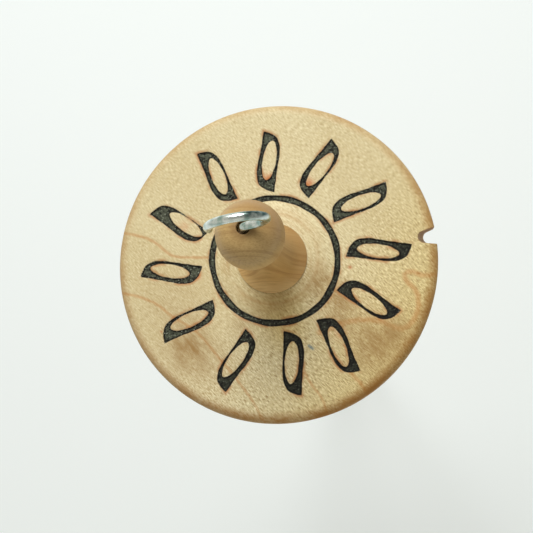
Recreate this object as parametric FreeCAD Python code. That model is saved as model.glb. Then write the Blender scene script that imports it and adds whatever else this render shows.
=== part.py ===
"""Top-whorl drop spindle: a turned whorl, a one-piece turned shaft with its knob, and a wire screw hook.

Millimetres. The Z axis is the spin axis, with +Z towards the hook. The origin is where the shaft leaves
the flat underside of the whorl. +X points from the axis to the yarn notch in the rim.
"""
import FreeCAD, Part
import math
import os

# Whorl
WHORL_R = 38.0
WHORL_T = 10.0
RIM_R = 2.7  # rounding of both rims
BOSS_R = 14.0  # where the raised cone meets the flat top
BOSS_RISE = 1.8
GLUE_GAP = 0.02  # radial room for glue between the shaft and the whorl's bore

# Burned decoration: one ring round the boss and twelve leaf-shaped rays
RING_IN_R = 14.0
RING_OUT_R = 15.65
BURN_DEPTH = 0.3
RAY_ANGLES = (-3, 26, 56, 86, 117, 151, 179, 209, 243, 274, 300, 329)  # set out by eye, so not quite even
RAY_MID_R = 24.8
# One ray's outlines about its middle, as distances (outward, counter-clockwise). The burned line lies
# between the two: it is thickest at the outer tip and thinner on the clockwise side.
RAY_TIPS = ((7.4, 0.4), (-8.1, -0.9))
RAY_LEFT_SIDE = ((4.0, 1.2), (0.5, 2.2), (-3.1, 3.0), (-5.8, 2.6))
RAY_RIGHT_SIDE = ((-4.6, -1.7), (-1.2, -2.5), (2.2, -3.2), (5.3, -2.7))
# The unburned middle of a ray is an ellipse
HOLE_CENTRE = (-0.6, -0.4)
HOLE_HALF_LENGTH = 4.8
HOLE_HALF_WIDTH = 1.55
HOLE_LEAN_DEG = -14.3

# Yarn notch, filed at a slant
NOTCH_END_R = 1.4
NOTCH_END_X = 35.1
NOTCH_MOUTH_HALF = 2.05
NOTCH_SLANT = (1.7, 1.4)  # how far the cut moves in X and Y from the top face to the underside

# Shaft
SHAFT_R = 4.75
SEAT_R = 5.5  # the thicker stretch that the whorl is glued to
JOURNAL_LENGTH = 24.0  # the straight stretch under the whorl
TAPER_END_Z = -222.0
TIP_Z = -225.0
TIP_R = 2.5
FOOT_R = 8.2
FOOT_LAND = 0.4
NECK_R = 4.5
NECK_Z = 27.0
KNOB_R = 6.95
KNOB_Z = 40.3
TOP_Z = 48.9

# Screw hook
WIRE_R = 0.86
THREAD_ROOT_R = 0.62
THREAD_PITCH = 0.8
THREAD_TURNS = 11
POINT_LENGTH = 1.0
SHANK_BOTTOM_Z = TOP_Z - 14.0
PILOT_R = WIRE_R + 0.05
PILOT_BOTTOM_Z = SHANK_BOTTOM_Z - 1.0
MOUTH_R = 1.35
MOUTH_DEPTH = 2.0
BEND_Z = TOP_Z - 0.5  # where the wire starts to bend
LEAD = 1.5  # straight wire below the bend that belongs to the bent part
LOOP_R = 4.9
TAIL_R = 6.2
TURN_DEG = 76.0  # how far the wire turns out of the shank before the loop
TAIL_DEG = 188.0
LEAN_DEG = 5.3
LEAN_AZIMUTH_DEG = -26.0


def point(r, z):
    return FreeCAD.Vector(r, 0.0, z)


def line(a, b):
    return Part.makeLine(a, b)


def arc(a, middle, b):
    return Part.Arc(a, middle, b).toShape()


def curve(points):
    spline = Part.BSplineCurve()
    spline.interpolate(points)
    return spline.toShape()


def turned(edges):
    """A solid of revolution about Z from a closed outline in the XZ plane."""
    face = Part.Face(Part.Wire(edges))
    return face.revolve(FreeCAD.Vector(0, 0, 0), FreeCAD.Vector(0, 0, 1), 360)


def quarter(centre_r, centre_z, radius, up):
    """A quarter round at the rim, from the flat face round to the side."""
    side = math.sin(math.radians(45)) * radius
    sign = 1 if up else -1
    return arc(
        point(centre_r, centre_z + sign * radius),
        point(centre_r + side, centre_z + sign * side),
        point(centre_r + radius, centre_z),
    )


def whorl_blank():
    bore = SEAT_R + GLUE_GAP
    top = WHORL_T + BOSS_RISE
    under = quarter(WHORL_R - RIM_R, RIM_R, RIM_R, False)
    over = quarter(WHORL_R - RIM_R, WHORL_T - RIM_R, RIM_R, True)
    edges = [
        line(point(bore, 0), point(WHORL_R - RIM_R, 0)),
        under,
        line(point(WHORL_R, RIM_R), point(WHORL_R, WHORL_T - RIM_R)),
        over,
        line(point(WHORL_R - RIM_R, WHORL_T), point(BOSS_R, WHORL_T)),
        line(point(BOSS_R, WHORL_T), point(FOOT_R, top)),
        line(point(FOOT_R, top), point(bore, top)),
        line(point(bore, top), point(bore, 0)),
    ]
    return turned(edges)


def notch_cutter():
    """A wedge with a round inner end, swept down at a slant through the rim."""
    over = 1.0
    mouth_x = WHORL_R + 3.0
    spread = math.atan2(NOTCH_MOUTH_HALF - NOTCH_END_R, WHORL_R - NOTCH_END_X)
    mouth_half = NOTCH_MOUTH_HALF + math.tan(spread) * (mouth_x - WHORL_R)
    lean = FreeCAD.Vector(NOTCH_SLANT[0] / WHORL_T, NOTCH_SLANT[1] / WHORL_T, -1.0)
    start = FreeCAD.Vector(0, 0, WHORL_T) - lean * over
    left = FreeCAD.Vector(NOTCH_END_X - NOTCH_END_R * math.sin(spread), NOTCH_END_R * math.cos(spread), 0)
    right = FreeCAD.Vector(left.x, -left.y, 0)
    back = FreeCAD.Vector(NOTCH_END_X - NOTCH_END_R, 0, 0)
    outer_left = FreeCAD.Vector(mouth_x, mouth_half, 0)
    outer_right = FreeCAD.Vector(mouth_x, -mouth_half, 0)
    edges = [
        arc(left, back, right),
        line(right, outer_right),
        line(outer_right, outer_left),
        line(outer_left, left),
    ]
    face = Part.Face(Part.Wire(edges))
    face.translate(start)
    return face.extrude(lean * (WHORL_T + 2 * over))


def flat_points(pairs):
    return [FreeCAD.Vector(x, y, 0) for x, y in pairs]


def leaf():
    """The outer outline of a ray: pointed at two opposite corners, rounded at the others."""
    tip_out, tip_in = flat_points(RAY_TIPS)
    left = curve([tip_out] + flat_points(RAY_LEFT_SIDE) + [tip_in])
    right = curve([tip_in] + flat_points(RAY_RIGHT_SIDE) + [tip_out])
    return Part.Face(Part.Wire([left, right]))


def leaf_hole():
    ellipse = Part.Ellipse(FreeCAD.Vector(0, 0, 0), HOLE_HALF_LENGTH, HOLE_HALF_WIDTH).toShape()
    ellipse.rotate(FreeCAD.Vector(0, 0, 0), FreeCAD.Vector(0, 0, 1), HOLE_LEAN_DEG)
    ellipse.translate(FreeCAD.Vector(*HOLE_CENTRE, 0))
    return Part.Face(Part.Wire([ellipse]))


def ray_cutter(angle):
    height = FreeCAD.Vector(0, 0, 2.0)
    ray = leaf().extrude(height).cut(leaf_hole().extrude(height))
    ray.translate(FreeCAD.Vector(RAY_MID_R, 0, WHORL_T - BURN_DEPTH))
    ray.rotate(FreeCAD.Vector(0, 0, 0), FreeCAD.Vector(0, 0, 1), angle)
    return ray


def ring_cutter():
    base = FreeCAD.Vector(0, 0, WHORL_T - BURN_DEPTH)
    return Part.makeCylinder(RING_OUT_R, 2.0, base).cut(Part.makeCylinder(RING_IN_R, 2.0, base))


def whorl():
    cutters = [ray_cutter(angle) for angle in RAY_ANGLES]
    cutters.append(ring_cutter())
    cutters.append(notch_cutter())
    return whorl_blank().cut(cutters)


def shaft_blank():
    seat = WHORL_T + BOSS_RISE
    rise = NECK_Z - seat - FOOT_LAND
    spread = FOOT_R - NECK_R
    cove = [
        point(FOOT_R, seat + FOOT_LAND),
        point(NECK_R + 0.50 * spread, seat + FOOT_LAND + 0.16 * rise),
        point(NECK_R + 0.20 * spread, seat + FOOT_LAND + 0.42 * rise),
        point(NECK_R + 0.04 * spread, seat + FOOT_LAND + 0.75 * rise),
        point(NECK_R, NECK_Z),
        point(NECK_R + 0.38, NECK_Z + 5.2),
        point(NECK_R + 1.35, NECK_Z + 9.8),
        point(KNOB_R - 0.28, KNOB_Z - 1.8),
        point(KNOB_R, KNOB_Z),
    ]
    rise = TOP_Z - KNOB_Z
    dome = [
        point(KNOB_R, KNOB_Z),
        point(0.95 * KNOB_R, KNOB_Z + 0.36 * rise),
        point(0.80 * KNOB_R, KNOB_Z + 0.66 * rise),
        point(0.56 * KNOB_R, KNOB_Z + 0.87 * rise),
        point(0.28 * KNOB_R, KNOB_Z + 0.97 * rise),
        point(0, TOP_Z),
    ]
    taper = [
        point(SHAFT_R, -JOURNAL_LENGTH),
        point(SHAFT_R - 0.25, 0.40 * TIP_Z),
        point(SHAFT_R - 0.95, 0.68 * TIP_Z),
        point(TIP_R, TAPER_END_Z),
    ]
    edges = [
        arc(point(0, TIP_Z), point(0.72 * TIP_R, TIP_Z + 0.9), point(TIP_R, TAPER_END_Z)),
        curve(taper[::-1]),
        line(point(SHAFT_R, -JOURNAL_LENGTH), point(SHAFT_R, 0)),
        line(point(SHAFT_R, 0), point(SEAT_R, 0)),
        line(point(SEAT_R, 0), point(SEAT_R, seat)),
        line(point(SEAT_R, seat), point(FOOT_R, seat)),
        line(point(FOOT_R, seat), cove[0]),
        curve(cove),
        curve(dome),
        line(point(0, TOP_Z), point(0, TIP_Z)),
    ]
    return turned(edges)


def shaft():
    pilot = Part.makeCylinder(PILOT_R, TOP_Z + 1 - PILOT_BOTTOM_Z, point(0, PILOT_BOTTOM_Z))
    mouth = Part.makeCylinder(MOUTH_R, MOUTH_DEPTH + 1, point(0, TOP_Z - MOUTH_DEPTH))
    return shaft_blank().cut([pilot, mouth])


def hook_path():
    """The wire's centreline above the shank: out of the shank, round the loop and down the tail."""
    turn = math.radians(TURN_DEG)
    bend_r = LOOP_R * math.cos(turn) / (1 - math.cos(turn))
    centre = (bend_r + LOOP_R) * math.sin(turn)
    flat = [(0.0, -LEAD), (0.0, -0.5 * LEAD)]
    for i in range(5):
        a = turn * i / 4.5
        flat.append((bend_r * (1 - math.cos(a)), bend_r * math.sin(a)))
    for i in range(1, 11):
        a = -turn + (math.radians(90) + turn) * i / 10
        flat.append((LOOP_R * math.cos(a), centre + LOOP_R * math.sin(a)))
    for i in range(1, 8):
        a = math.radians(90 + (TAIL_DEG - 90) * i / 7)
        flat.append((TAIL_R * math.cos(a), centre + LOOP_R - TAIL_R + TAIL_R * math.sin(a)))
    lean = math.tan(math.radians(LEAN_DEG))
    azimuth = math.radians(LEAN_AZIMUTH_DEG)
    points = []
    for x, z in flat:
        out = lean * max(z, 0.0)
        points.append(FreeCAD.Vector(x + out * math.cos(azimuth), out * math.sin(azimuth), BEND_Z + z))
    return points


def threaded_shank():
    """The straight part of the wire in the shaft, with its thread as a row of ridges and a point below."""
    z = SHANK_BOTTOM_Z + POINT_LENGTH
    points = [point(0, SHANK_BOTTOM_Z), point(THREAD_ROOT_R, z)]
    for _ in range(THREAD_TURNS):
        points.append(point(WIRE_R, z + 0.35 * THREAD_PITCH))
        points.append(point(WIRE_R, z + 0.50 * THREAD_PITCH))
        points.append(point(THREAD_ROOT_R, z + 0.85 * THREAD_PITCH))
        z += THREAD_PITCH
        points.append(point(THREAD_ROOT_R, z))
    points.append(point(WIRE_R, z + 0.5 * THREAD_PITCH))
    points.append(point(WIRE_R, BEND_Z - LEAD))
    points.append(point(0, BEND_Z - LEAD))
    edges = [line(a, b) for a, b in zip(points, points[1:] + points[:1])]
    return turned(edges)


def hook():
    path = hook_path()
    section = Part.makeCircle(WIRE_R, path[0], FreeCAD.Vector(0, 0, 1))
    wire = Part.Wire([curve(path)])
    bent = wire.makePipeShell([Part.Wire([section])], True, False)
    return threaded_shank().fuse(bent).removeSplitter()


def main():
    os.makedirs("parts", exist_ok=True)
    made = {"whorl": whorl(), "shaft": shaft(), "hook": hook()}
    for name, shape in made.items():
        solid = shape.Solids[0]
        assert len(shape.Solids) == 1 and solid.isValid(), name
        solid.exportStep("parts/" + name + ".step")
        box = solid.BoundBox
        low = [round(v, 2) for v in (box.XMin, box.YMin, box.ZMin)]
        high = [round(v, 2) for v in (box.XMax, box.YMax, box.ZMax)]
        print(name, "volume", round(solid.Volume, 1), "from", low, "to", high)


main()
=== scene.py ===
import math

import bpy
import numpy as np
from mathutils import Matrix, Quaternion, Vector

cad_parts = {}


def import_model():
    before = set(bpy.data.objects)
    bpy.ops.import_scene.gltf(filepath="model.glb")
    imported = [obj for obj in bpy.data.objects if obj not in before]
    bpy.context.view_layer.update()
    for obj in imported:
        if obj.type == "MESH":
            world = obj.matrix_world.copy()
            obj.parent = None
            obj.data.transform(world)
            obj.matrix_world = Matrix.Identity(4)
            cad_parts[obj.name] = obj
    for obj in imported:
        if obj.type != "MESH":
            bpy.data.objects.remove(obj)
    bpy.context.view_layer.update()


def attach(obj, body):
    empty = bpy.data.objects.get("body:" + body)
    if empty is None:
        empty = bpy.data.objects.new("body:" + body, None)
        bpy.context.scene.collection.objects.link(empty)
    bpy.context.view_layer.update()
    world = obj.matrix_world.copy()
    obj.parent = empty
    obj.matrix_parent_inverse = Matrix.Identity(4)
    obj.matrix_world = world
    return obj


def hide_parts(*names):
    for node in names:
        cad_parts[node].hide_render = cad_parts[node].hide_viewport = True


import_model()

MM = 0.001

# Whorl, in millimetres and degrees: the same sizes as the CAD part
WHORL_R = 38.0
WHORL_T = 10.0
RIM_R = 2.7
BOSS_R = 14.0
BOSS_RISE = 1.8
BORE_R = 5.52
FOOT_R = 8.2
FOOT_EDGE = 0.4
NOTCH_END_R = 1.4
NOTCH_END_X = 35.1
NOTCH_SPREAD = math.atan2(0.65, 2.9)
NOTCH_SLANT = (1.7, 1.4)
EDGE_ROUND = 0.18  # wear on the notch's top edge
FACE_R = 33.2  # the top face is evenly divided out to here, just inside the notch's end
FINE_SECTOR_DEG = (-3.0, 7.0)  # the notch, which needs closer columns of points
FINE_STEP_DEG = 0.1
STEP_DEG = 0.6

# Burned ring and rays
RING_MID_R = 14.82
RING_HALF = 0.74
RING_CENTRE = (0.25, -0.2)
# The ring's waver in radius and in half width: size, waves in one turn, phase in radians
RING_WAVER = ((0.2, 2, 3.3208), (0.05, 5, 0.0), (0.03, 13, 0.0))
RING_WIDTH_WAVER = ((0.06, 7, 0.3), (0.04, 17, 0.0))
BURN_DEPTH = 0.3
BURN_WALL = 0.45  # the groove's sloping wall, which starts BURN_LIP outside the line's edge
BURN_LIP = 0.10
BURN_ZONE = (12.5, 34.5)  # burned lines lie between these distances from the axis
FAR = 9.0  # burn distance of all wood outside that zone
# Each ray: direction, distance of its middle from the axis, lean, and how far its unburned middle sits
# outwards of its usual place
RAYS = (
    (-3, 25.0, 1, 0.0),
    (26, 24.5, 0, 0.5),
    (56, 24.5, 2, 0.0),
    (86, 24.0, 2, 0.5),
    (117, 25.0, 3, 0.0),
    (151, 25.0, 0, -1.5),
    (179, 25.0, -2, 0.5),
    (209, 25.0, 1, 0.0),
    (243, 25.5, -2, 0.0),
    (274, 25.0, 0, 0.0),
    (300, 25.5, -1, 0.5),
    (329, 24.5, 1, 0.5),
)
# One leaf outline for all rays, along and across its own axis
RAY_TIPS = ((7.4, 0.4), (-8.1, -0.9))
RAY_LEFT_SIDE = ((4.0, 1.2), (0.5, 2.2), (-3.1, 3.0), (-5.8, 2.6))
RAY_RIGHT_SIDE = ((-4.6, -1.7), (-1.2, -2.5), (2.2, -3.2), (5.3, -2.7))
RAY_REACH = 10.5  # a ray leaves no mark farther than this from its middle
STROKE_THINNING = 0.07
HOLE_CENTRE = (-0.6, -0.4)
HOLE_HALF_LENGTH = 4.8
HOLE_HALF_WIDTH = 1.55
HOLE_LEAN_DEG = -14.3

# Growth lines that show on the whorl: width, then the points each one passes
GROWTH_LINES = (
    (0.30, ((-38, 13), (-34.5, 11.5), (-30.5, 10), (-27, 7.5), (-24, 4.5), (-20.5, 3.5), (-14, 2.5))),
    (0.30, ((-38, -2.5), (-32.5, -4.5), (-28.5, -7), (-26, -9.5), (-20.5, -14), (-16.5, -19.5),
            (-12.5, -25.5))),
    (0.25, ((-12.5, -25.5), (-11, -28), (-9.5, -30.5), (-8.5, -32.5), (-7.5, -35), (-6.5, -38))),
    (0.55, ((8.5, -18.5), (14, -17), (19.5, -17), (23, -18), (27.5, -20), (29.5, -19), (31.5, -15.5))),
    (0.50, ((31.5, -15.5), (31.5, -12), (29.6, -9), (29.7, -7.8), (31, -7.5), (33, -8.5), (38, -8.5))),
    (0.25, ((4, -27), (5.5, -30.5), (7, -33), (7.5, -35), (8, -38))),
    (0.40, ((14, -28), (15.5, -30), (17, -32.5), (19, -36))),
)
# Darker clouds in the wood, some of them painted shade under the knob and beside the boss: middle, size,
# strength
CLOUDS_AND_PAINTED_SHADE = (
    ((20, -23), 6.0, 1.0),
    ((26, -20.5), 4.0, 0.6),
    ((14, -14.5), 3.5, 0.8),
    ((-22.5, -18), 5.5, 1.0),
    ((-17, -24), 8.0, 0.35),
    ((-26, -8), 9.0, 0.35),
    ((-1, -10.5), 4.5, 0.5),
    ((10.5, -7.0), 3.6, 1.0),
    ((15, -10.5), 2.8, 0.6),
    ((-9.5, -14), 2.5, 0.5),
)
# Scorched wood beside the burned lines: middle, size, strength
SCORCHES = (
    ((1.3, 19.2), 1.4, 1.1),
    ((10.6, 16.6), 1.4, 1.1),
    ((-18.3, -1.3), 0.9, 0.8),
    ((-8.1, 17.6), 0.9, 0.7),
    ((-20.3, 11.1), 1.2, 0.5),
    ((13.2, -19.5), 1.3, 0.5),
    ((18.6, -0.6), 0.9, 0.4),
)
# Painted warm shade under the knob: middle, size, strength
SHADED_SPOTS = (((0, -10), 6.0, 1.0), ((1, -18), 5.0, 0.8))
# Small marks: middle, size, strength
KNOTS = (((17.5, -4.5), 0.45, 1.0), ((-28.5, -13.2), 0.25, 1.0))
INK_SPECKS = (((5.7, -21.1), 0.28, 1.0), ((6.1, -21.5), 0.32, 1.2), ((6.5, -21.9), 0.28, 1.0))

# Shaft
SHAFT_R = 4.75
SEAT_R = 5.5
NECK_R = 4.5
NECK_Z = 27.0
KNOB_R = 6.95
KNOB_Z = 40.3
TOP_Z = 48.9
TIP_R = 2.5
TAPER_END_Z = -222.0
TIP_Z = -225.0
PILOT_R = 0.91
PILOT_BOTTOM_Z = TOP_Z - 15.0
MOUTH_R = 1.35
MOUTH_DEPTH = 2.0

# Screw hook
WIRE_R = 0.86
THREAD_ROOT_R = 0.62
THREAD_PITCH = 0.8
SHANK_BOTTOM_Z = TOP_Z - 14.0
THREAD_TOP_Z = SHANK_BOTTOM_Z + 9.8
BEND_Z = TOP_Z - 0.5
LOOP_R = 4.9
TAIL_R = 6.2
TURN_DEG = 76.0
TAIL_DEG = 188.0
LEAN_DEG = 5.3
LEAN_AZIMUTH_DEG = -26.0
THREAD_FADE = 0.8  # the thread runs out over this height
POINT_LENGTH = 1.6
TAIL_ROUNDING = (0.02, 0.07, 0.16)  # how much thinner the wire's last three rings are
# painted dark reflection: the loop's far end darkened on its upward side, as a reflection of dark
# surroundings
DARK_REFLECTION_SIDE = (0.0, 0.45, 0.9)
DARK_REFLECTION_FROM_X = 1.6
DARK_REFLECTION_FROM_Z = BEND_Z + 5.0

# Studio and camera
FLOOR_R = 9.0  # metres
FLOOR_GAP = 0.2
COOL_LIGHT = (0.98, 1.0, 1.0)
WARM_LIGHT = (1.0, 0.99, 0.97)
SKY_COLOR = (1.0, 0.96, 0.86, 1.0)
SKY_STRENGTH = {"To Min": 0.62, "To Max": 0.26}  # low in the sky, overhead
SKY_HEIGHT = {"From Min": 0.35, "From Max": 1.0}
CAMERA_POS = (25.1, -35.0, 205.1)
CAMERA_AIM = (-1.75, -1.48, 10.0)
CAMERA_ROLL_DEG = -46.44
CAMERA_LENS = 57.7


# ---------------------------------------------------------------- meshes
def spline(points, count):
    """Points along a natural cubic spline through the given ones."""
    p = np.array(points, float)
    t = np.concatenate([[0], np.cumsum(np.linalg.norm(np.diff(p, axis=0), axis=1))])
    n = len(p)
    h = np.diff(t)
    a = np.eye(n)
    b = np.zeros_like(p)
    for i in range(1, n - 1):
        a[i, i - 1 : i + 2] = h[i - 1], 2 * (h[i - 1] + h[i]), h[i]
        b[i] = 6 * ((p[i + 1] - p[i]) / h[i] - (p[i] - p[i - 1]) / h[i - 1])
    m = np.linalg.solve(a, b)
    s = np.linspace(0, t[-1], count)
    k = np.clip(np.searchsorted(t, s) - 1, 0, n - 2)
    u = (t[k + 1] - s)[:, None]
    v = (s - t[k])[:, None]
    w = h[k][:, None]
    curve = m[k] * u**3 / (6 * w) + m[k + 1] * v**3 / (6 * w)
    return curve + (p[k] / w - m[k] * w / 6) * u + (p[k + 1] / w - m[k + 1] * w / 6) * v


def grid_object(name, rows, closed_rows=False, cap_ends=False):
    """A mesh from rows of points. Each row closes on itself; the rows may close too, or end in caps."""
    count, width, _ = rows.shape
    verts = rows.reshape(-1, 3) * MM
    i = np.arange(count if closed_rows else count - 1)[:, None]
    j = np.arange(width)[None, :]
    a = i * width + j
    b = i * width + (j + 1) % width
    c = ((i + 1) % count) * width + (j + 1) % width
    d = ((i + 1) % count) * width + j
    faces = np.stack([a, b, c, d], axis=-1).reshape(-1, 4).tolist()
    verts = verts.tolist()
    if cap_ends:
        for row, turn in ((0, 1), (count - 1, 0)):
            verts.append((rows[row].mean(axis=0) * MM).tolist())
            centre = len(verts) - 1
            for k in range(width):
                pair = [row * width + k, row * width + (k + 1) % width]
                faces.append([centre, *(pair[::-1] if turn else pair)])
    mesh = bpy.data.meshes.new(name)
    mesh.from_pydata(verts, [], faces)
    mesh.update()
    obj = bpy.data.objects.new(name, mesh)
    bpy.context.collection.objects.link(obj)
    return obj


def smooth(obj, angle_deg):
    """Smooth shading, with edges sharper than the angle left crisp."""
    obj.data.shade_smooth()
    obj.data.set_sharp_from_angle(angle=math.radians(angle_deg))


def attribute(obj, name, values):
    """A number for each point, which the materials read by name."""
    layer = obj.data.attributes.new(name, "FLOAT", "POINT")
    layer.data.foreach_set("value", np.asarray(values, np.float32))


def lathe(name, outline, columns):
    """A solid of revolution from an outline of (radius, height) that starts and ends near the axis."""
    angle = np.radians(np.arange(columns) * 360.0 / columns)
    r, z = np.array(outline, float).T
    x = r[:, None] * np.cos(angle)
    y = r[:, None] * np.sin(angle)
    rows = np.stack([x, y, np.broadcast_to(z[:, None], x.shape)], axis=-1)
    return grid_object(name, rows, cap_ends=True)


# ---------------------------------------------------------------- whorl
def notch_limit(angle, z):
    """How far from the axis the wood reaches in each direction before the notch cuts it."""
    drop = (WHORL_T - z) / WHORL_T
    cx = NOTCH_END_X + NOTCH_SLANT[0] * drop
    cy = NOTCH_SLANT[1] * drop
    ux, uy = np.cos(angle), np.sin(angle)
    along = cx * ux + cy * uy
    off = cx * uy - cy * ux
    inside = NOTCH_END_R**2 - off**2
    limit = np.where(inside > 0, along - np.sqrt(np.maximum(inside, 0)), np.inf)
    tangent = cx - NOTCH_END_R * math.sin(NOTCH_SPREAD)
    limit = np.where(limit * ux <= tangent, limit, np.inf)
    slope = math.tan(NOTCH_SPREAD)
    for side in (1, -1):
        start_y = cy + side * NOTCH_END_R * math.cos(NOTCH_SPREAD)
        t = (start_y - side * slope * tangent) / (uy - side * slope * ux)
        wall = np.where((t * ux >= tangent) & (t > 0), t, np.inf)
        limit = np.minimum(limit, wall)
    return limit


def rim_outline():
    """The rim from the top face round to the underside, as (radius, height) from top to bottom."""
    turn = np.radians(np.linspace(90, 0, 10))
    top_r = WHORL_R - RIM_R + RIM_R * np.cos(turn)
    top_z = WHORL_T - RIM_R + RIM_R * np.sin(turn)
    side_z = np.linspace(WHORL_T - RIM_R, RIM_R, 6)[1:-1]
    side_r = np.full(len(side_z), WHORL_R)
    under_r = top_r[::-1]
    under_z = WHORL_T - top_z[::-1]
    return np.concatenate([top_r, side_r, under_r]), np.concatenate([top_z, side_z, under_z])


def ease(x):
    """A smooth step from 0 at 0 to 1 at 1."""
    x = np.clip(x, 0, 1)
    return x * x * (3 - 2 * x)


def outline_distance(points, outline):
    """Signed distance from points to a closed outline, negative inside."""
    a = outline
    b = np.roll(outline, -1, axis=0)
    ab = b - a
    ap = points[:, None, :] - a[None]
    t = np.clip((ap * ab).sum(-1) / (ab * ab).sum(-1), 0, 1)
    near = np.sqrt((((ap - t[..., None] * ab) ** 2).sum(-1)).min(axis=1))
    y = points[:, 1:2]
    crosses = (a[:, 1] > y) != (b[:, 1] > y)
    rise = np.where(ab[:, 1] == 0, 1e-9, ab[:, 1])
    at = a[:, 0] + (y - a[:, 1]) / rise * ab[:, 0]
    inside = (crosses & (points[:, 0:1] < at)).sum(axis=1) % 2 == 1
    return np.where(inside, -near, near)


def leaf_outline():
    """The outer edge of a ray."""
    left = spline([RAY_TIPS[0], *RAY_LEFT_SIDE, RAY_TIPS[1]], 40)
    right = spline([RAY_TIPS[1], *RAY_RIGHT_SIDE, RAY_TIPS[0]], 40)
    return np.concatenate([left[:-1], right[:-1]])


def hole_outline(out):
    """The unburned middle of a ray: a leaning ellipse, a little sharper at its ends than a true one."""
    t = np.radians(np.arange(0, 360, 5))
    u = HOLE_HALF_LENGTH * np.cos(t)
    v = HOLE_HALF_WIDTH * np.sign(np.sin(t)) * abs(np.sin(t)) ** 1.1
    lean = math.radians(HOLE_LEAN_DEG)
    x = HOLE_CENTRE[0] + out + u * math.cos(lean) - v * math.sin(lean)
    y = HOLE_CENTRE[1] + u * math.sin(lean) + v * math.cos(lean)
    return np.stack([x, y], axis=-1)


def waver(angle, waves):
    """Waves round a circle added up."""
    return sum(size * np.sin(count * angle + phase) for size, count, phase in waves)


def burn_distance(x, y):
    """Distance in millimetres to the burned lines, negative inside them."""
    r = np.hypot(x - RING_CENTRE[0], y - RING_CENTRE[1])
    angle = np.arctan2(y, x)
    half = RING_HALF + waver(angle, RING_WIDTH_WAVER)
    distance = abs(r - RING_MID_R - waver(angle, RING_WAVER)) - half
    leaf = leaf_outline()
    for direction, middle, lean, hole_out in RAYS:
        d = math.radians(direction)
        dx, dy = x - middle * math.cos(d), y - middle * math.sin(d)
        near = np.hypot(dx, dy) < RAY_REACH
        turn = d + math.radians(lean)
        u = dx[near] * math.cos(turn) + dy[near] * math.sin(turn)
        v = -dx[near] * math.sin(turn) + dy[near] * math.cos(turn)
        points = np.stack([u, v], axis=-1)
        hole = outline_distance(points, hole_outline(hole_out))
        unsteady = 0.03 * np.sin(u * 2.3 + direction) + 0.02 * np.sin(v * 3.7 + direction * 2)
        line = np.maximum(outline_distance(points, leaf), -hole) + unsteady + STROKE_THINNING
        distance[near] = np.minimum(distance[near], line)
    return distance


def growth_distance(x, y):
    """Distance to the nearest growth line, counted in widths of that line."""
    nearest = np.full(x.shape, 20.0)
    for width, points in GROWTH_LINES:
        path = spline(points, 36)
        for a, b in zip(path, path[1:]):
            ab = b - a
            t = np.clip(((x - a[0]) * ab[0] + (y - a[1]) * ab[1]) / ab.dot(ab), 0, 1)
            gap = np.hypot(x - a[0] - t * ab[0], y - a[1] - t * ab[1])
            nearest = np.minimum(nearest, gap / width)
    return nearest


def blobs(x, y, spots):
    """Soft round spots added up: each fades to nothing at about twice its size."""
    return sum(k * np.exp(-(((x - cx) ** 2 + (y - cy) ** 2) / size**2)) for (cx, cy), size, k in spots)


def whorl_rows(angle):
    """Rings of points from the bore over the top, round the rim and back under to the bore."""
    rim_r, rim_z = rim_outline()
    flat_r = WHORL_R - RIM_R
    top_edge = np.minimum(notch_limit(angle, WHORL_T), flat_r)
    cut = top_edge < flat_r - 1e-6
    rows = []

    def add(r, z):
        r = np.broadcast_to(r, angle.shape)
        z = np.broadcast_to(z, angle.shape)
        rows.append(np.stack([r * np.cos(angle), r * np.sin(angle), z], axis=-1))

    seat = WHORL_T + BOSS_RISE
    add(BORE_R, seat)
    add(FOOT_R - 0.6, seat)
    for r in np.linspace(FOOT_R, BOSS_R - 0.4, 8):
        add(r, seat - BOSS_RISE * (r - FOOT_R) / (BOSS_R - FOOT_R))
    for r in np.linspace(BOSS_R, FACE_R, 91):
        add(r, WHORL_T)
    for back in (1.6, 1.0, 0.5, EDGE_ROUND, 0.08, 0.02, 0.0):
        run = EDGE_ROUND - min(back, EDGE_ROUND)
        drop = EDGE_ROUND - math.sqrt(max(EDGE_ROUND**2 - run**2, 0))
        r = np.where(cut, np.maximum(top_edge - back, FACE_R + 0.01 * (2 - back)), top_edge - back)
        add(r, WHORL_T - np.where(cut, drop, 0))
    for k in range(1, len(rim_r)):
        z = np.where(cut, np.minimum(rim_z[k], WHORL_T - EDGE_ROUND - 0.02 * k), rim_z[k])
        add(np.minimum(rim_r[k], notch_limit(angle, z)), z)
    low_edge = np.minimum(notch_limit(angle, 0.0), flat_r)
    for share in (0.02, 0.2, 0.5, 0.8, 1.0):
        add(low_edge + (BORE_R - low_edge) * share, 0.0)
    add(BORE_R, 6.0)
    return rows


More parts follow.
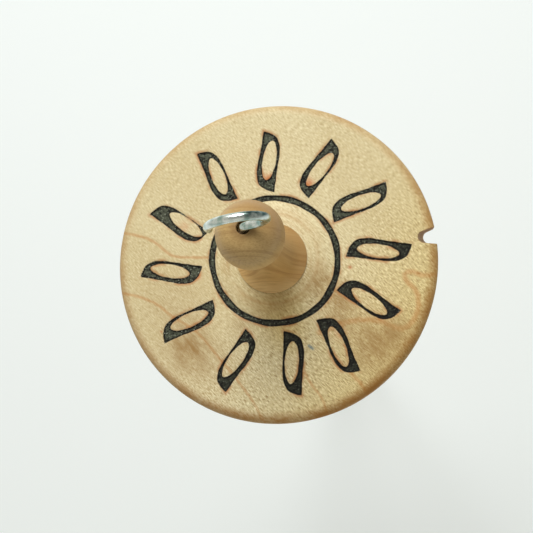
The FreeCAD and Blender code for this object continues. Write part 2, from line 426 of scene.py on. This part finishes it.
def mark_whorl(obj, x, y, z):
    """What the whorl's material needs to know at each point, apart from the burned lines."""
    r = np.hypot(x, y)
    angle = np.arctan2(y, x)
    attribute(obj, "growth", growth_distance(x, y))
    # darker clouds in the wood, partly painted shade under the knob and beside the boss
    attribute(obj, "cloud", blobs(x, y, CLOUDS_AND_PAINTED_SHADE))
    attribute(obj, "knots", blobs(x, y, KNOTS))
    attribute(obj, "ink", blobs(x, y, INK_SPECKS) * (z > 9))
    attribute(obj, "scorch", blobs(x, y, SCORCHES))
    # painted warm shade: warmer towards the side away from the lamp and in spots under the knob
    attribute(obj, "warm_painted_shade", np.maximum(ease((0.8 * x - 0.6 * y - 5) / 36), blobs(x, y, SHADED_SPOTS)))
    # grows towards the side away from the lamp: the painted char sheen fades along it and the flecks show
    # more
    attribute(obj, "away_from_light", ease((0.5 * x - 0.85 * y + 5) / 30))
    attribute(obj, "boss", ease((BOSS_R - 0.3 - r) / 1.5))
    # the rim browner for its side grain, with painted shade adding more on the side away from the lamp
    rim_shade_by_side = 0.75 + 0.25 * np.cos(angle + 1.2)
    rim = ease((r - 34.8) / 2.6) * rim_shade_by_side
    notch_wall = (r > notch_limit(angle, z) - 0.05) & (z < WHORL_T - 0.1)
    attribute(obj, "rim", np.where(notch_wall, 1.0, rim))


def whorl():
    fine = np.arange(*FINE_SECTOR_DEG, FINE_STEP_DEG)
    coarse = np.arange(FINE_SECTOR_DEG[1], 359.9 + FINE_SECTOR_DEG[0], STEP_DEG)
    rows = whorl_rows(np.radians(np.concatenate([fine, coarse])))
    grid = np.array(rows[::-1])  # from the bore's foot outwards and up, so that the faces look outwards
    x, y, z = grid[..., 0].ravel(), grid[..., 1].ravel(), grid[..., 2].ravel()
    r = np.hypot(x, y)
    distance = np.full(x.shape, FAR)
    face = (z > WHORL_T - 0.5) & (r > BURN_ZONE[0]) & (r < BURN_ZONE[1])
    distance[face] = burn_distance(x[face], y[face])
    sunk = ease((BURN_LIP - distance) / BURN_WALL)
    ripple = 0.05 * np.sin(x * 5.1 + y * 2.2) * np.sin(y * 4.7 - x * 1.9)
    grid.reshape(-1, 3)[:, 2] = z - sunk * (BURN_DEPTH + ripple)
    obj = grid_object("maple_whorl", grid, closed_rows=True)
    attribute(obj, "burn", distance)
    mark_whorl(obj, x, y, z)
    smooth(obj, 42)
    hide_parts("whorl")
    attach(obj, "spindle")
    return obj


# ---------------------------------------------------------------- shaft
def cove_points():
    """The foot, the neck and the start of the knob, as (radius, height)."""
    foot = WHORL_T + BOSS_RISE + FOOT_EDGE
    rise = NECK_Z - foot
    spread = FOOT_R - NECK_R
    return [
        (FOOT_R, foot),
        (NECK_R + 0.50 * spread, foot + 0.16 * rise),
        (NECK_R + 0.20 * spread, foot + 0.42 * rise),
        (NECK_R + 0.04 * spread, foot + 0.75 * rise),
        (NECK_R, NECK_Z),
        (NECK_R + 0.38, NECK_Z + 5.2),
        (NECK_R + 1.35, NECK_Z + 9.8),
        (KNOB_R - 0.28, KNOB_Z - 1.8),
        (KNOB_R, KNOB_Z),
    ]


def dome_points():
    """The top of the knob from its widest place to the axis, as (radius, height)."""
    rise = TOP_Z - KNOB_Z
    shape = ((1.0, 0.0), (0.95, 0.36), (0.80, 0.66), (0.56, 0.87), (0.28, 0.97), (0.0, 1.0))
    return [(across * KNOB_R, KNOB_Z + up * rise) for across, up in shape]


def shaft_outline():
    """The whole shaft from its tip up to the knob and down into the pilot hole, as (radius, height)."""
    seat = WHORL_T + BOSS_RISE
    taper = [(SHAFT_R, -24.0), (SHAFT_R - 0.25, -90.0), (SHAFT_R - 0.95, -153.0), (TIP_R, TAPER_END_Z)]
    turn = np.radians(np.linspace(4, 84, 8))
    tip = np.stack([TIP_R * np.sin(turn), TIP_Z + (TAPER_END_Z - TIP_Z) * (1 - np.cos(turn))], axis=-1)
    dome = spline(dome_points(), 50)
    dome = dome[dome[:, 0] > MOUTH_R + 0.3]
    lip_z = float(dome[-1, 1]) + 0.03
    mouth_z = TOP_Z - MOUTH_DEPTH
    parts = [
        tip,
        spline(taper[::-1], 60),
        [(SHAFT_R, -12.0), (SHAFT_R, -0.02), (SEAT_R, 0.0), (SEAT_R, seat), (FOOT_R - 0.04, seat)],
        [(FOOT_R, seat + 0.05)],
        spline(cove_points(), 90),
        dome[1:],
        [(MOUTH_R + 0.12, lip_z + 0.02), (MOUTH_R + 0.02, lip_z - 0.06), (MOUTH_R, lip_z - 0.2)],
        [(MOUTH_R, mouth_z), (PILOT_R, mouth_z), (PILOT_R, PILOT_BOTTOM_Z), (0.05, PILOT_BOTTOM_Z)],
    ]
    return np.concatenate([np.array(p, float) for p in parts])


def shaft():
    obj = lathe("turned_shaft", shaft_outline(), 112)
    smooth(obj, 35)
    points = np.empty(len(obj.data.vertices) * 3)
    obj.data.vertices.foreach_get("co", points)
    x, y, z = points.reshape(-1, 3).T / MM
    # painted shade round the hook's hole in the knob top
    shade_round_hole = np.exp(-(((np.hypot(x, y) - MOUTH_R) / 1.3) ** 2))
    attribute(obj, "end_grain", ease((z - KNOB_Z + 1.0) / 5.0))
    # painted shade: the cove and knob browner on the side towards +X and +Y
    attribute(obj, "painted_shade_side", ease((0.7 * x + 0.7 * y) / FOOT_R + 0.25) * (z > WHORL_T))
    attribute(obj, "hole", np.where(z > KNOB_Z, shade_round_hole, 0))
    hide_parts("shaft")
    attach(obj, "spindle")
    return obj


# ---------------------------------------------------------------- hook
def hook_path():
    """The wire's centreline above the shank: out of the shank, round the loop and down the tail."""
    turn = math.radians(TURN_DEG)
    bend_r = LOOP_R * math.cos(turn) / (1 - math.cos(turn))
    centre = (bend_r + LOOP_R) * math.sin(turn)
    flat = [(0.0, -1.5), (0.0, -0.7)]
    for i in range(5):
        a = turn * i / 4.5
        flat.append((bend_r * (1 - math.cos(a)), bend_r * math.sin(a)))
    for i in range(1, 11):
        a = -turn + (math.radians(90) + turn) * i / 10
        flat.append((LOOP_R * math.cos(a), centre + LOOP_R * math.sin(a)))
    for i in range(1, 8):
        a = math.radians(90 + (TAIL_DEG - 90) * i / 7)
        flat.append((TAIL_R * math.cos(a), centre + LOOP_R - TAIL_R + TAIL_R * math.sin(a)))
    lean = math.tan(math.radians(LEAN_DEG))
    azimuth = math.radians(LEAN_AZIMUTH_DEG)
    points = []
    for x, z in flat:
        out = lean * max(z, 0.0)
        points.append((x + out * math.cos(azimuth), out * math.sin(azimuth), BEND_Z + z))
    return spline(points, 170)


def threaded_radius(z, around):
    """The shank's radius all round at one height: a helical ridge that runs out above and a point below."""
    phase = (z / THREAD_PITCH - around / (2 * math.pi)) % 1.0
    ridge = ease(1 - abs(phase - 0.5) / 0.32)
    fade = ease((THREAD_TOP_Z - z) / THREAD_FADE)
    r = WIRE_R - (WIRE_R - THREAD_ROOT_R) * (1 - ridge) * fade
    return r * min(1.0, 0.06 + (z - SHANK_BOTTOM_Z) / POINT_LENGTH)


def hook():
    sides = 36
    around = np.radians(np.arange(sides) * 360.0 / sides)
    shank_z = np.arange(SHANK_BOTTOM_Z + 0.02, BEND_Z - 1.55, 0.08)
    shank = np.stack([0 * shank_z, 0 * shank_z, shank_z], axis=-1)
    centres = np.concatenate([shank, hook_path()])
    tangents = np.gradient(centres, axis=0)
    tangents /= np.linalg.norm(tangents, axis=1)[:, None]
    radii = [threaded_radius(z, around) for z in shank_z]
    radii += [np.full(sides, WIRE_R)] * (len(centres) - len(radii) - len(TAIL_ROUNDING))
    radii += [np.full(sides, WIRE_R - less) for less in TAIL_ROUNDING]
    side = np.array([0.0, 1.0, 0.0])
    rows = []
    dark_reflection = []
    for centre, tangent, r in zip(centres, tangents, radii):
        side = side - tangent * side.dot(tangent)
        side /= np.linalg.norm(side)
        other = np.cross(side, tangent)
        ring = centre + r[:, None] * (np.cos(around)[:, None] * other + np.sin(around)[:, None] * side)
        rows.append(ring)
        # painted dark reflection on the upward side of the loop's far end
        facing = (ring - centre) @ np.array(DARK_REFLECTION_SIDE) / WIRE_R
        loop_end = ease((centre[0] - DARK_REFLECTION_FROM_X) / 1.4) * ease((centre[2] - DARK_REFLECTION_FROM_Z) / 1.5)
        dark_reflection.append(ease(facing / 0.5) * loop_end)
    obj = grid_object("wire_hook", np.array(rows), cap_ends=True)
    attribute(obj, "dark_reflection", np.concatenate([*dark_reflection, [0.0, 0.0]]))
    smooth(obj, 50)
    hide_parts("hook")
    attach(obj, "screw_hook")
    return obj


# ---------------------------------------------------------------- materials
class Nodes:
    """Short names for building a material's node tree."""

    def __init__(self, name):
        self.material = bpy.data.materials.new(name)
        self.material.use_nodes = True
        self.tree = self.material.node_tree
        self.tree.nodes.clear()

    def put(self, kind, **inputs):
        node = self.tree.nodes.new("ShaderNode" + kind)
        for key, value in inputs.items():
            self.feed(node.inputs[key.replace("_", " ")], value)
        return node

    def feed(self, socket, value):
        if isinstance(value, bpy.types.NodeSocket):
            self.tree.links.new(value, socket)
        elif isinstance(value, tuple) and len(value) == 3 and socket.type == "RGBA":
            socket.default_value = (*value, 1.0)
        else:
            socket.default_value = value

    def math(self, operation, a, b=0.0, clamp=False):
        node = self.tree.nodes.new("ShaderNodeMath")
        node.operation = operation
        node.use_clamp = clamp
        self.feed(node.inputs[0], a)
        self.feed(node.inputs[1], b)
        return node.outputs[0]

    def times(self, a, b, clamp=False):
        return self.math("MULTIPLY", a, b, clamp)

    def mix(self, factor, a, b, blend="MIX"):
        node = self.tree.nodes.new("ShaderNodeMix")
        node.data_type = "RGBA"
        node.blend_type = blend
        self.feed(node.inputs[0], factor)
        self.feed(node.inputs[6], a)
        self.feed(node.inputs[7], b)
        return node.outputs[2]

    def step(self, value, low, high, to_low=0.0, to_high=1.0):
        """A smooth step of a value between low and high."""
        node = self.tree.nodes.new("ShaderNodeMapRange")
        node.interpolation_type = "SMOOTHSTEP"
        for key, number in (("From Min", low), ("From Max", high), ("To Min", to_low), ("To Max", to_high)):
            node.inputs[key].default_value = number
        self.feed(node.inputs["Value"], value)
        return node.outputs[0]

    def place(self, turn_deg, scale, shift=(0, 0, 0)):
        """The object's own coordinates, turned about Z, as so many noise cells per millimetre each way."""
        coords = self.tree.nodes.new("ShaderNodeTexCoord").outputs["Object"]
        turned = self.put("VectorRotate", Vector=coords, Angle=math.radians(-turn_deg)).outputs[0]
        node = self.tree.nodes.new("ShaderNodeMapping")
        self.feed(node.inputs["Vector"], turned)
        node.inputs["Scale"].default_value = [s / MM for s in scale]
        node.inputs["Location"].default_value = shift
        return node.outputs[0]

    def turning(self, per_mm):
        """A coordinate that changes only with the distance from the axis, for lathe marks."""
        coords = self.tree.nodes.new("ShaderNodeTexCoord").outputs["Object"]
        flat = self.put("VectorMath", Vector=coords)
        flat.operation = "MULTIPLY"
        flat.inputs[1].default_value = (1.0, 1.0, 0.0)
        radius = self.put("VectorMath", Vector=flat.outputs[0])
        radius.operation = "LENGTH"
        return self.put("CombineXYZ", X=self.times(radius.outputs["Value"], per_mm / MM)).outputs[0]

    def noise(self, vector, detail=3.0, rough=0.5):
        return self.put("TexNoise", Vector=vector, Scale=1.0, Detail=detail, Roughness=rough).outputs["Fac"]

    def value(self, name):
        node = self.tree.nodes.new("ShaderNodeAttribute")
        node.attribute_name = name
        return node.outputs["Fac"]

    def bump(self, height, strength, distance_mm):
        return self.put("Bump", Height=height, Strength=strength, Distance=distance_mm * MM).outputs[0]

    def finish(self, **inputs):
        self.put("OutputMaterial", Surface=self.put("BsdfPrincipled", **inputs).outputs[0])
        return self.material


def srgb(r, g, b):
    """A screen colour, 0 to 255 each, in the linear values that the nodes take."""

    def linear(c):
        c = c / 255
        return c / 12.92 if c <= 0.04045 else ((c + 0.055) / 1.055) ** 2.4

    return (linear(r), linear(g), linear(b))


WHORL_GRAIN_DEG = -52.0
MAPLE_SHADE = srgb(201, 184, 139)
MAPLE_LIGHT = srgb(213, 199, 157)
DARK_FLECK = srgb(148, 117, 68)
PALE_FLECK = srgb(243, 235, 198)
PAINTED_SHADE_TINT = srgb(245, 236, 208)
BOSS_ARC = srgb(172, 130, 76)
GROWTH_LINE = srgb(184, 124, 62)
CLOUD_AND_SHADE_BROWN = srgb(150, 116, 66)
KNOT = srgb(176, 96, 44)
RIM_BROWN_AND_SHADE = srgb(162, 113, 56)
INK = srgb(96, 122, 132)
HALO = srgb(172, 112, 62)
SCORCH = srgb(190, 108, 54)
CHAR_BLACK = srgb(12, 9, 6)
CHAR_SHEEN_GREY = srgb(82, 86, 70)
CHAR_GLINT = srgb(150, 156, 138)


def maple(n):
    """Sanded maple: soft clouds, short dark flecks and short pale ones along the grain."""
    cloud = n.noise(n.place(WHORL_GRAIN_DEG, (0.03, 0.09, 0.05)), 4.0, 0.55)
    color = n.mix(n.step(cloud, 0.3, 0.7), MAPLE_SHADE, MAPLE_LIGHT)
    # flecks show more strongly towards the side away from the lamp
    contrast = n.step(n.value("away_from_light"), 0.0, 1.0, 0.5, 0.95)
    dark = n.step(n.noise(n.place(WHORL_GRAIN_DEG, (1.0, 4.7, 1.5)), 3.0, 0.7), 0.44, 0.66)
    color = n.mix(n.times(dark, contrast), color, DARK_FLECK)
    pale = n.step(n.noise(n.place(WHORL_GRAIN_DEG, (1.0, 4.3, 1.5), (9, 4, 2)), 3.0, 0.7), 0.45, 0.66)
    return n.mix(n.times(pale, contrast), color, PALE_FLECK)


def wood_marks(n, color, ragged):
    """Painted warm shade, lathe arcs on the boss, growth lines, darker clouds with some painted shade among
    them, knots, the rim with painted shade on its side away from the lamp, and the ink.
    """
    # painted warm shade
    color = n.mix(n.value("warm_painted_shade"), color, PAINTED_SHADE_TINT, "MULTIPLY")
    broken = n.step(n.noise(n.place(0, (0.12, 0.12, 0.12), (1, 6, 2)), 3.0, 0.6), 0.3, 0.6)
    arcs = n.times(n.value("boss"), n.step(n.noise(n.turning(0.8)), 0.42, 0.62, 0.0, 0.45))
    color = n.mix(n.times(arcs, broken), color, BOSS_ARC)
    near = n.math("ADD", n.value("growth"), n.times(n.math("SUBTRACT", ragged, 0.5), 1.6))
    color = n.mix(n.step(near, 0.2, 1.9, 0.5, 0.0), color, GROWTH_LINE)
    # darker clouds, partly painted shade
    mottle = n.noise(n.place(WHORL_GRAIN_DEG, (0.2, 0.7, 0.2)), 4.0, 0.6)
    color = n.mix(n.times(n.value("cloud"), n.step(mottle, 0.25, 0.65, 0.3, 0.8)), color, CLOUD_AND_SHADE_BROWN)
    color = n.mix(n.times(n.value("knots"), 0.85, True), color, KNOT)
    # rim brown, partly painted shade
    mottle = n.noise(n.place(0, (0.14, 0.14, 0.2), (5, 2, 0)), 4.0, 0.6)
    color = n.mix(n.times(n.value("rim"), n.step(mottle, 0.25, 0.7, 0.45, 0.95)), color, RIM_BROWN_AND_SHADE)
    return n.mix(n.times(n.value("ink"), 0.85, True), color, INK)


def charcoal(n):
    """The burned grooves: black, with a painted grey sheen in the middle and painted glints, both fading
    towards the side away from the lamp.
    """
    sheen = n.step(n.value("away_from_light"), 0.0, 1.0, 1.0, 0.3)
    tone = n.noise(n.place(0, (1.2, 1.2, 1.2)), 4.0, 0.65)
    # painted sheen: a greyer middle in each groove, stronger towards the lamp
    middle = n.times(n.step(n.value("burn"), -0.6, -0.2, 1.0, 0.0), n.step(tone, 0.36, 0.60))
    color = n.mix(n.times(middle, sheen), CHAR_BLACK, CHAR_SHEEN_GREY)
    # painted glints: small bright specks on the char
    spark = n.noise(n.place(0, (2.8, 2.8, 2.8), (2, 7, 5)), 2.0, 0.6)
    return n.mix(n.times(n.step(spark, 0.60, 0.68, 0.0, 0.9), sheen), color, CHAR_GLINT)


def whorl_material():
    n = Nodes("whorl_maple")
    ragged = n.noise(n.place(WHORL_GRAIN_DEG, (0.5, 1.3, 0.2)), 3.0, 0.6)
    color = wood_marks(n, maple(n), ragged)
    rough_edge = n.noise(n.place(0, (3.5, 3.5, 3.5)), 3.0, 0.6)
    edge = n.math("ADD", n.value("burn"), n.times(n.math("SUBTRACT", rough_edge, 0.5), 0.26))
    patch = n.step(n.noise(n.place(0, (0.22, 0.22, 0.22), (3, 8, 1)), 2.0), 0.42, 0.65, 0.05, 0.75)
    color = n.mix(n.times(n.step(edge, 0.0, 0.85, 1.0, 0.0), patch), color, HALO)
    scorch = n.times(n.value("scorch"), n.step(ragged, 0.3, 0.6, 0.4, 0.8), True)
    color = n.mix(scorch, color, SCORCH)
    burned = n.step(edge, -0.10, 0.10, 1.0, 0.0)
    color = n.mix(burned, color, charcoal(n))
    grit = n.noise(n.place(0, (4.5, 4.5, 4.5)), 4.0, 0.7)
    lathe_marks = n.times(n.noise(n.turning(6.0), 2.0, 0.6), 0.06)
    height = n.math("ADD", n.times(grit, n.math("ADD", burned, 0.05)), lathe_marks)
    gloss = n.step(n.value("rim"), 0.2, 0.9, 0.2, 0.04)
    normal = n.bump(height, 0.8, 0.3)
    return n.finish(Base_Color=color, Roughness=0.5, Specular_IOR_Level=gloss, Normal=normal)


SHAFT_GRAIN_DEG = 83.0
SHAFT_SHADE = srgb(198, 158, 98)
SHAFT_LIGHT = srgb(212, 178, 120)
SHAFT_STREAK = srgb(156, 114, 62)
SHAFT_LINE = srgb(150, 98, 46)
END_GRAIN = srgb(186, 156, 103)
END_PORE = srgb(150, 119, 72)
END_LINE = srgb(130, 94, 52)
PAINTED_SHADE_BROWN = srgb(146, 110, 64)
HOLE_SHADE = srgb(112, 78, 44)


def shaft_material():
    n = Nodes("shaft_maple")
    cloud = n.noise(n.place(SHAFT_GRAIN_DEG, (0.3, 0.12, 0.02)), 3.0, 0.5)
    streak = n.noise(n.place(SHAFT_GRAIN_DEG, (4.2, 0.25, 0.04)), 3.0, 0.6)
    lines = n.noise(n.place(SHAFT_GRAIN_DEG, (1.3, 0.05, 0.012), (3, 0, 0)), 2.0, 0.5)
    pores = n.noise(n.place(SHAFT_GRAIN_DEG, (5.0, 2.2, 0.3), (1, 5, 0)), 2.0, 0.6)
    color = n.mix(n.step(cloud, 0.3, 0.7), SHAFT_SHADE, SHAFT_LIGHT)
    color = n.mix(n.step(streak, 0.45, 0.68, 0.0, 0.35), color, SHAFT_STREAK)
    color = n.mix(n.step(lines, 0.57, 0.64, 0.0, 0.35), color, SHAFT_LINE)
    end = n.mix(n.step(pores, 0.42, 0.68, 0.0, 0.5), END_GRAIN, END_PORE)
    end = n.mix(n.step(lines, 0.57, 0.64, 0.0, 0.25), end, END_LINE)
    color = n.mix(n.times(n.value("end_grain"), 0.9), color, end)
    # painted shade on one side
    color = n.mix(n.times(n.value("painted_shade_side"), 0.7), color, PAINTED_SHADE_BROWN)
    # painted shade round the hook's hole
    color = n.mix(n.times(n.value("hole"), 0.6), color, HOLE_SHADE)
    normal = n.bump(n.noise(n.place(0, (1.5, 1.5, 0.2)), 2.0), 0.12, 0.1)
    return n.finish(Base_Color=color, Roughness=0.4, Specular_IOR_Level=0.3, Normal=normal)


ZINC_REFLECTION_MOTTLE = srgb(156, 184, 176)
ZINC_LIGHT = srgb(236, 244, 240)
ZINC_DARK_REFLECTION = srgb(50, 78, 78)


def metal_material():
    n = Nodes("zinc_plated_wire")
    # painted reflections: the zinc mottled between greyer and whiter patches
    cloud = n.noise(n.place(0, (0.6, 0.6, 0.6)), 3.0, 0.5)
    color = n.mix(n.step(cloud, 0.35, 0.65), ZINC_REFLECTION_MOTTLE, ZINC_LIGHT)
    patch = n.noise(n.place(0, (0.42, 0.42, 0.42), (4, 1, 7)), 2.0, 0.6)
    # painted dark reflection, in patches
    color = n.mix(n.times(n.value("dark_reflection"), n.step(patch, 0.35, 0.55, 0.6, 1.0)), color, ZINC_DARK_REFLECTION)
    rough = n.step(cloud, 0.3, 0.7, 0.14, 0.28)
    normal = n.bump(n.noise(n.place(0, (1.6, 1.6, 1.6)), 3.0), 0.5, 0.08)
    return n.finish(Base_Color=color, Metallic=1.0, Roughness=rough, Normal=normal)


def dress(obj, material):
    obj.data.materials.clear()
    obj.data.materials.append(material)


# ---------------------------------------------------------------- studio
def floor():
    """A plain round floor just under the spindle's tip."""
    turn = np.radians(np.arange(0, 360, 3))
    edge = [(FLOOR_R * math.cos(t), FLOOR_R * math.sin(t), 0.0) for t in turn]
    mesh = bpy.data.meshes.new("studio_floor")
    mesh.from_pydata(edge, [], [tuple(range(len(edge)))])
    obj = bpy.data.objects.new("studio_floor", mesh)
    bpy.context.collection.objects.link(obj)
    obj.location = (0, 0, (TIP_Z - FLOOR_GAP) * MM)
    n = Nodes("studio_floor")
    dress(obj, n.finish(Base_Color=srgb(243, 249, 250), Roughness=0.9))


def lamp(name, azimuth_deg, out, up, size, power, color):
    """A soft square lamp at a distance out from the axis and up, facing the whorl. Metres, watts."""
    data = bpy.data.lights.new(name, "AREA")
    data.shape = "SQUARE"
    data.size = size
    data.energy = power
    data.color = color
    obj = bpy.data.objects.new(name, data)
    bpy.context.collection.objects.link(obj)
    azimuth = math.radians(azimuth_deg)
    obj.location = (out * math.cos(azimuth), out * math.sin(azimuth), up)
    obj.rotation_mode = "QUATERNION"
    whorl_top = Vector((0, 0, WHORL_T * MM))
    obj.rotation_quaternion = (whorl_top - obj.location).to_track_quat("-Z", "Y")


def world():
    """A pale surround that is a little darker overhead than at the horizon."""
    w = bpy.data.worlds.new("studio")
    bpy.context.scene.world = w
    w.use_nodes = True
    tree = w.node_tree
    background = tree.nodes["Background"]
    coords = tree.nodes.new("ShaderNodeTexCoord")
    split = tree.nodes.new("ShaderNodeSeparateXYZ")
    ramp = tree.nodes.new("ShaderNodeMapRange")
    ramp.interpolation_type = "SMOOTHSTEP"
    for key, number in (SKY_HEIGHT | SKY_STRENGTH).items():
        ramp.inputs[key].default_value = number
    tree.links.new(coords.outputs["Generated"], split.inputs[0])
    tree.links.new(split.outputs["Z"], ramp.inputs["Value"])
    tree.links.new(ramp.outputs[0], background.inputs["Strength"])
    background.inputs["Color"].default_value = SKY_COLOR


def camera():
    data = bpy.data.cameras.new("camera")
    data.lens = CAMERA_LENS
    data.sensor_width = 36.0
    data.clip_start = 0.01
    data.clip_end = 20.0
    obj = bpy.data.objects.new("camera", data)
    bpy.context.collection.objects.link(obj)
    where = Vector(CAMERA_POS) * MM
    aim = Vector(CAMERA_AIM) * MM
    obj.location = where
    obj.rotation_mode = "QUATERNION"
    roll = Quaternion((0, 0, 1), math.radians(CAMERA_ROLL_DEG))
    obj.rotation_quaternion = (aim - where).to_track_quat("-Z", "Y") @ roll
    bpy.context.scene.camera = obj


def studio():
    floor()
    lamp("window", azimuth_deg=97.0, out=0.85, up=1.05, size=0.80, power=13.3, color=COOL_LIGHT)
    lamp("near_lamp", azimuth_deg=80.0, out=0.26, up=0.30, size=0.16, power=0.37, color=WARM_LIGHT)
    world()
    bpy.context.scene.view_settings.view_transform = "Standard"


dress(whorl(), whorl_material())
dress(shaft(), shaft_material())
dress(hook(), metal_material())
studio()
camera()
